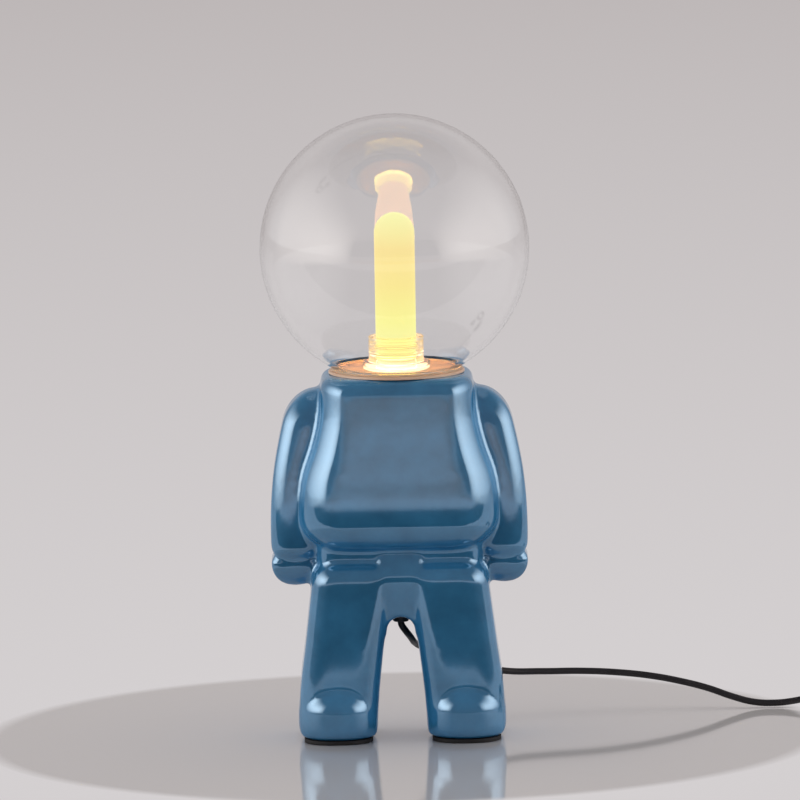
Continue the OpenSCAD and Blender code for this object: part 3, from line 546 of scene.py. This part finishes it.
# Keys are (height, x, half width, half depth), and those of a limb are for the right side
TORSO = [
    (145, 0, 71, 55.5), (172, 0, 73.4, 57), (200, 0, 70.2, 56.2),
    (222, 0, 63, 55.5), (240, 0, 58.6, 55), (NECK_Z, 0, 56.4, 54),
]
HIPS = [(93, 0, 42, 28), (112, 0, 52, 32), (137, 0, 60.3, 35), (165, 0, 58, 35)]
CROTCH = [(80, 0, 17, 29.5), (100, 0, 17, 34), (128, 0, 17, 40.2), (136, 0, 17, 37.5), (147, 0, 17, 34)]
LEG = [
    (4, 47.2, 28.3, 40.6), (33, 46.4, 29.5, 41), (75, 41.6, 29.3, 41.7),
    (120, 35.8, 29.7, 42.5), (137, 34, 29.7, 42.8),
]
FOOT = [(3, FOOT_X, 29.2, 42.2), (18, FOOT_X, 29.5, 42.7), (45, FOOT_X, 28.4, 42.9)]
ARM = [
    (136.5, 76.6, 18.4, 26.6), (152, 76.4, 19, 27.1), (195, 73, 20.3, 26.4),
    (240, 63, 21.8, 25.6), (262, 58.2, 21, 25.2),
]
HAND = [(115, 77.4, 18.6, 22), (139.2, 76.6, 18.6, 22)]
PAD = [(0, FOOT_X, 25.5, 39), (3, FOOT_X, 25.5, 39)]
ARCH_R, ARCH_Z, ARCH_DEPTH = 10.5, 83, 100
FUSING = 1.6  # edge of the cubes that the blocks are fused by


def crotch_arch():
    """The bridge between the thighs, with a round arch cut under it."""
    bridge = stacked("crotch", CROTCH, corner=4, foot=(1, 1), head=(3, 3))
    round_cut = begin("arch_cut", "cylinder", vertices=64, radius=ARCH_R * MM, depth=ARCH_DEPTH * MM,
                      location=(0, 0, ARCH_Z * MM), rotation=(math.pi / 2, 0, 0))
    close(round_cut)
    apply(bridge, "BOOLEAN", operation="DIFFERENCE", object=round_cut, solver="EXACT")
    bpy.data.objects.remove(round_cut)
    return bridge


def figure():
    """All the blocks as one closed skin."""
    blocks = [
        stacked("torso", TORSO, corner=27, foot=(22, 23), head=(8, 8)),
        stacked("hips", HIPS, corner=12, foot=(10, 10), head=(4, 6)),
        crotch_arch(),
    ]
    for side in (-1, 1):
        blocks += [
            stacked("leg", LEG, corner=16, foot=(3, 3), head=(17, 15), side=side),
            stacked("foot", FOOT, corner=27, foot=(6, 8), head=(25, 21), side=side, y=FOOT_Y),
            stacked("arm", ARM, corner=18, foot=(10, 9), head=(19, 24), side=side),
            stacked("hand", HAND, corner=18, foot=(18, 19), head=(6, 5), side=side),
        ]
    bpy.ops.object.select_all(action="DESELECT")
    for block in blocks:
        block.select_set(True)
    body = blocks[0]
    bpy.context.view_layer.objects.active = body
    bpy.ops.object.join()
    body.name = body.data.name = "glazed_figure"
    apply(body, "REMESH", mode="VOXEL", voxel_size=FUSING * MM)
    apply(body, "SMOOTH", factor=0.5, iterations=20)
    bpy.ops.object.shade_smooth_by_angle(angle=math.radians(50))
    return body


place(figure(), "lamp", GLAZE, "glaze", "ceramic_body")


# Foot pads, gland and neck
for side, name in ((-1, "foot_pad_left"), (1, "foot_pad_right")):
    pad = stacked("sole_" + name, PAD, corner=22, foot=(0.6, 0.6), head=(0.4, 0.4), side=side, y=FOOT_Y)
    place(pad, "lamp", RUBBER, "pad_rubber", name)

GLAND_IN, GLAND_R, FLANGE_R, FLANGE_Z, GLAND_TOP = 2.6, 4.5, 7, 92, 103
gland = turned("lead_gland", [
    (GLAND_IN, GLAND_TOP), (GLAND_IN, GLAND_Z), (5.1, GLAND_Z), (5.6, GLAND_Z + 0.3), (6.9, 89),
    (FLANGE_R, 89.4), (FLANGE_R, FLANGE_Z - 0.4), (FLANGE_R - 0.2, FLANGE_Z),
    (GLAND_R, FLANGE_Z), (GLAND_R, GLAND_TOP), (GLAND_IN, GLAND_TOP),
], steps=64)
place(gland, "lamp", ABS, "dark_plastic", "cord_gland")

plate = turned("spun_neck_plate", flat_ring(STEM_R, 50.5, NECK_Z, PLATE_Z, under=0.3, over=0.6), steps=128)
# The plate's warm peach colour is painted glow of the tube's light
place(plate, "lamp", PLATE_PAINTED_GLOW, "plate_metal", "neck_plate")

ring = turned("globe_ring", flat_ring(44, 48, PLATE_Z, GLASS_Z, under=0.3, over=0.3), steps=128)
# The ring's warm tone is painted glow
place(ring, "lamp", SILICONE_PAINTED_GLOW, "silicone", "globe_gasket")


# Globe, light tube and its holder
GLOBE_Z, GLOBE_R, GLASS_T = 365.1, 99.95, 2.45  # the ball's middle, radius and wall
NECK_DROP = 86.6  # how far under its middle the ball turns into its neck
GLOBE_STEPS = 110
NECK = math.degrees(math.asin(NECK_DROP / GLOBE_R))
NECK_IN = math.degrees(math.asin(NECK_DROP / (GLOBE_R - GLASS_T)))
globe = turned(
    "blown_globe",
    arc(0, GLOBE_Z, GLOBE_R, 90, -NECK, GLOBE_STEPS)
    + [(47.3, GLASS_Z + 0.4), (46.8, GLASS_Z), (44.7, GLASS_Z), (44.5, GLASS_Z + 0.3)]
    + arc(0, GLOBE_Z, GLOBE_R - GLASS_T, -NECK_IN, 90, GLOBE_STEPS),
    steps=224,
)
place(globe, "globe", GLASS, "clear_glass", "glass_globe")


def thread(root, crest, root_half, crest_half):
    """Points of the thread's rings from the top one down, each as wide as its two half widths say."""
    tooth = [(root, root_half), (crest, crest_half), (crest, -crest_half), (root, -root_half)]
    return [(r, z + dz) for z in reversed(THREAD_Z) for r, dz in tooth]


TUBE_IN = 12.5
tube = turned(
    "frosted_tube",
    arc(0, DOME_Z, TUBE_R, 90, 0, 16)
    + thread(TUBE_R, 16.2, 0.55, 0.28)
    + [(TUBE_R, TUBE_Z + 0.4), (TUBE_R - 0.4, TUBE_Z), (TUBE_IN, TUBE_Z)]
    + arc(0, DOME_Z, TUBE_IN, 0, 90, 12),
)
place(tube, "light_tube", GLOW, "frosted_acrylic", "diffuser_tube")

COLLAR_IN, COLLAR_R, COLLAR_TOP = 15.4, 20.5, 300
RIM_R, RIM_TOP, HOLDER_FLOOR = 25, 281, 277
RIB_DEPTH, RIB_HEIGHTS = 0.4, range(284, 298, 2)
rib = [(COLLAR_R, 0.3), (COLLAR_R - RIB_DEPTH, 0.8), (COLLAR_R - RIB_DEPTH, 1.2), (COLLAR_R, 1.7)]
holder = turned(
    "screw_holder",
    [(STEM_R, HOLDER_FLOOR), (STEM_R, PLATE_Z), (RIM_R - 0.5, PLATE_Z), (RIM_R, PLATE_Z + 0.5)]
    + [(RIM_R, RIM_TOP - 0.8), (RIM_R - 0.8, RIM_TOP), (COLLAR_R + 0.5, RIM_TOP), (COLLAR_R, RIM_TOP + 0.5)]
    + [(r, z + dz) for z in RIB_HEIGHTS for r, dz in rib]
    + [(COLLAR_R, COLLAR_TOP - 0.6), (COLLAR_R - 0.6, COLLAR_TOP)]
    + [(COLLAR_IN + 0.4, COLLAR_TOP), (COLLAR_IN, COLLAR_TOP - 0.4)]
    + thread(COLLAR_IN, 16.6, 0.95, 0.68)
    + [(COLLAR_IN, HOLDER_FLOOR), (STEM_R, HOLDER_FLOOR)],
)
# The holder's glow is painted emission standing in for the tube's light shining through it
place(holder, "lamp", CLEAR_PAINTED_GLOW, "clear_acrylic", "tube_holder")

# Light passes through the clear and lit pieces, so they throw no shadow
for clear in (globe, holder, tube):
    clear.visible_shadow = False


# CAD nodes that stay as they are take the finish nearest to what they are made of
for finish, names in (
    (ZINC, "heat_sink bridge_bar driver_bracket driver_screws rocker_pin switch_screws"),
    (BRASS, "threaded_tube lock_nut switch_contacts"),
    (WHITE, "led_board driver_case driver_cover"),
    (BOARD, "driver_board"),
    (EPOXY, "driver_parts"),
    (ABS, "gland_nut"),
    (WIRE, "led_wires"),
    (PVC, "inner_cord"),
    (CHIPS, "led_chips"),
):
    for name in names.split():
        solid = frame["nodes"][name].data
        solid.materials.clear()
        solid.materials.append(finish)


# Studio, in metres
FLOOR_R, WALL_FAR = 30, 5.6  # the whole floor, and where its wall tone is at its darkest
TABLE_EDGE, TABLE_END = 0.302, 0.318  # between these the table top passes into the wall's tone
CARD_HALF_X, CARD_HALF_Y, CARD_AT = 3, 2.35, (0, -2.68, 0.002)
CARD_NEAR, CARD_FAR = -0.3, -5.0  # where along Y its shades begin and end
SIDE_X, SIDE_Y, SIDE_Z, SIDE_SIZE = 1.6, -0.6, 0.88, (3.6, 1.8)
FRONT_FADE, BACK_FADE, UPRIGHT_FADE = 0.8, 1.4, (0.8, 2)  # powers that the side boxes fade by
BOX_AIM_Z = 0.22  # height of the line along Y that the boxes face
GLOW_Z = 0.292


def seen_ray(tree):
    """One for a ray from the camera, a mirror or clear glass, none for one that only carries light."""
    path = node(tree, "LightPath")
    most = path.outputs["Is Camera Ray"]
    for kind in ("Is Glossy Ray", "Is Transmission Ray"):
        most = node(tree, "Math", {"operation": "MAXIMUM"}, _0=most, _1=path.outputs[kind]).outputs[0]
    return most


def studio_floor():
    """A pale polished table top that passes into the wall's tone further out."""
    floor = begin("floor", "circle", vertices=128, radius=FLOOR_R, fill_type="NGON", location=(0, 0, 0))
    close(floor)
    made, tree, shader = finish_named("studio_floor", Base_Color=linear("#faf9fc"), Roughness=0.07)
    place_on = node(tree, "TexCoord").outputs["Object"]
    away = node(tree, "VectorMath", {"operation": "LENGTH"}, _0=place_on).outputs["Value"]
    far = node(tree, "MapRange", Value=away, From_Min=TABLE_EDGE, From_Max=TABLE_END)
    share = node(tree, "Math", {"operation": "MULTIPLY"}, _0=far.outputs["Result"], _1=seen_ray(tree))
    tone = shades(tree, away, 0, WALL_FAR, "#d5d1d2", "#bdb7b7")
    wall = node(tree, "Emission", Color=tone, Strength=1.0)
    both = node(tree, "MixShader", Fac=share.outputs[0], _1=shader.outputs[0], _2=wall.outputs[0])
    tree.links.new(both.outputs[0], tree.nodes["Material Output"].inputs["Surface"])
    floor.data.materials.append(made)
    return floor


def front_card():
    """A card in front of the table that only reflections find, a painted reflection: dark near by, pale
    beyond, warm far off.
    """
    card = begin("front_card", size=2)
    bpy.ops.transform.resize(value=(CARD_HALF_X, CARD_HALF_Y, 1), center_override=(0, 0, 0))
    bpy.ops.transform.translate(value=CARD_AT)
    close(card)
    made, tree, shader = finish_named(
        "painted_reflection_card", Base_Color=linear("#000000"), Roughness=1.0, Emission_Strength=1.0
    )
    place_on = node(tree, "TexCoord").outputs["Object"]
    in_front = node(tree, "SeparateXYZ", Vector=place_on).outputs["Y"]
    tone = shades(
        tree, in_front, CARD_NEAR, CARD_FAR,
        (0.0, "#0c0d0f"), (0.25, "#101113"), (0.31, "#e0d8da"), (0.45, "#e2dcde"),
        (0.55, "#e8d8d6"), (0.64, "#ccac9a"), (0.7, "#bc8652"), (1.0, "#9a7a60"),
    )
    tree.links.new(tone, shader.inputs["Emission Color"])
    card.data.materials.append(made)
    card.visible_camera = card.visible_diffuse = card.visible_shadow = card.visible_transmission = False


def softbox(name, at, size, power, across, upright):
    """An area light that faces a line along Y through the figure, and whose cloth fades to its edges.

    The powers of the fading are given across, for its ends along its own X, and upright, for foot and head.
    """
    lamp = bpy.data.lights.new(name, "AREA")
    lamp.shape = "RECTANGLE"
    lamp.size, lamp.size_y = size
    lamp.energy = power
    lamp.color = linear("#fff6ec")[:3]
    lamp.use_nodes = True
    tree = lamp.node_tree
    spot = node(tree, "SeparateXYZ", Vector=node(tree, "NewGeometry").outputs["Parametric"])
    level = 1.0
    for axis, powers in (("X", across), ("Y", upright)):
        on = spot.outputs[axis]
        back = node(tree, "Math", {"operation": "SUBTRACT"}, _0=1.0, _1=on).outputs[0]
        for edge, rise in zip((on, back), powers):
            peak = rise / sum(powers)
            even = node(tree, "Math", {"operation": "DIVIDE"}, _0=edge, _1=peak).outputs[0]
            fade = node(tree, "Math", {"operation": "POWER"}, _0=even, _1=rise).outputs[0]
            level = node(tree, "Math", {"operation": "MULTIPLY"}, _0=level, _1=fade).outputs[0]
    tree.links.new(level, tree.nodes["Emission"].inputs["Strength"])
    piece = bpy.data.objects.new(name, lamp)
    scene.collection.objects.link(piece)
    piece.location = at
    aim = Vector((0, at[1], BOX_AIM_Z)) - Vector(at)
    piece.rotation_euler = aim.to_track_quat("-Z", "Y").to_euler()
    piece.visible_camera = False
    piece.visible_transmission = False
    return piece


def grey_room():
    """A pale wall behind, brighter sides, a dim front and ceiling; as light it gives half of that."""
    world = bpy.data.worlds.new("room")
    world.use_nodes = True
    scene.world = world
    room = world.node_tree
    looking = node(room, "SeparateXYZ", Vector=node(room, "TexCoord").outputs["Generated"])
    aside = node(room, "Math", {"operation": "ABSOLUTE"}, _0=looking.outputs["X"]).outputs[0]
    tone = linear("#c0baba")
    for way, low, high, code in (
        (looking.outputs["Y"], 0.1, -0.3, "#77767a"),
        (looking.outputs["Z"], 0.5, 0.9, "#6f7178"),
        (aside, 0.6, 0.9, "#f4f1f1"),
    ):
        share = node(room, "MapRange", Value=way, From_Min=low, From_Max=high).outputs["Result"]
        tone = node(room, "Mix", {"data_type": "RGBA"}, Factor=share, _6=tone, _7=linear(code)).outputs[2]
    level = node(room, "MapRange", Value=seen_ray(room), To_Min=0.5, To_Max=1.0)
    room.links.new(tone, room.nodes["Background"].inputs["Color"])
    room.links.new(level.outputs["Result"], room.nodes["Background"].inputs["Strength"])


def tube_glow():
    """The light that the tube throws on the plate and the neck."""
    glow = bpy.data.lights.new("tube_glow", "POINT")
    glow.energy = 0.5
    glow.color = linear("#ffb45a")[:3]
    glow.shadow_soft_size = 0.012
    piece = bpy.data.objects.new("tube_glow", glow)
    scene.collection.objects.link(piece)
    piece.location = (0, 0, GLOW_Z)
    piece.visible_camera = piece.visible_glossy = piece.visible_transmission = False


# The side boxes are brightest a little ahead of their middle and below it; no mirror shows the top one
table = studio_floor()
sides = [
    softbox(name, (x, SIDE_Y, SIDE_Z), SIDE_SIZE, power, fades, UPRIGHT_FADE)
    for name, x, power, fades in (
        ("softbox_left", -SIDE_X, 58, (BACK_FADE, FRONT_FADE)),
        ("softbox_right", SIDE_X, 45, (FRONT_FADE, BACK_FADE)),
    )
]
overhead = softbox("softbox_top", (0, 0.4, 2.4), (4.4, 4.4), 50, (0.5, 0.5), (0.5, 0.5))
overhead.visible_glossy = False

# The polished table is left out of the side boxes' light, so that it shows no glare from any side
left_out = bpy.data.collections.new("left_out")
left_out.objects.link(table)
left_out.collection_objects[0].light_linking.link_state = "EXCLUDE"
for box in sides:
    box.light_linking.receiver_collection = left_out

# A card of painted reflections, seen only in mirrors
front_card()
grey_room()
tube_glow()
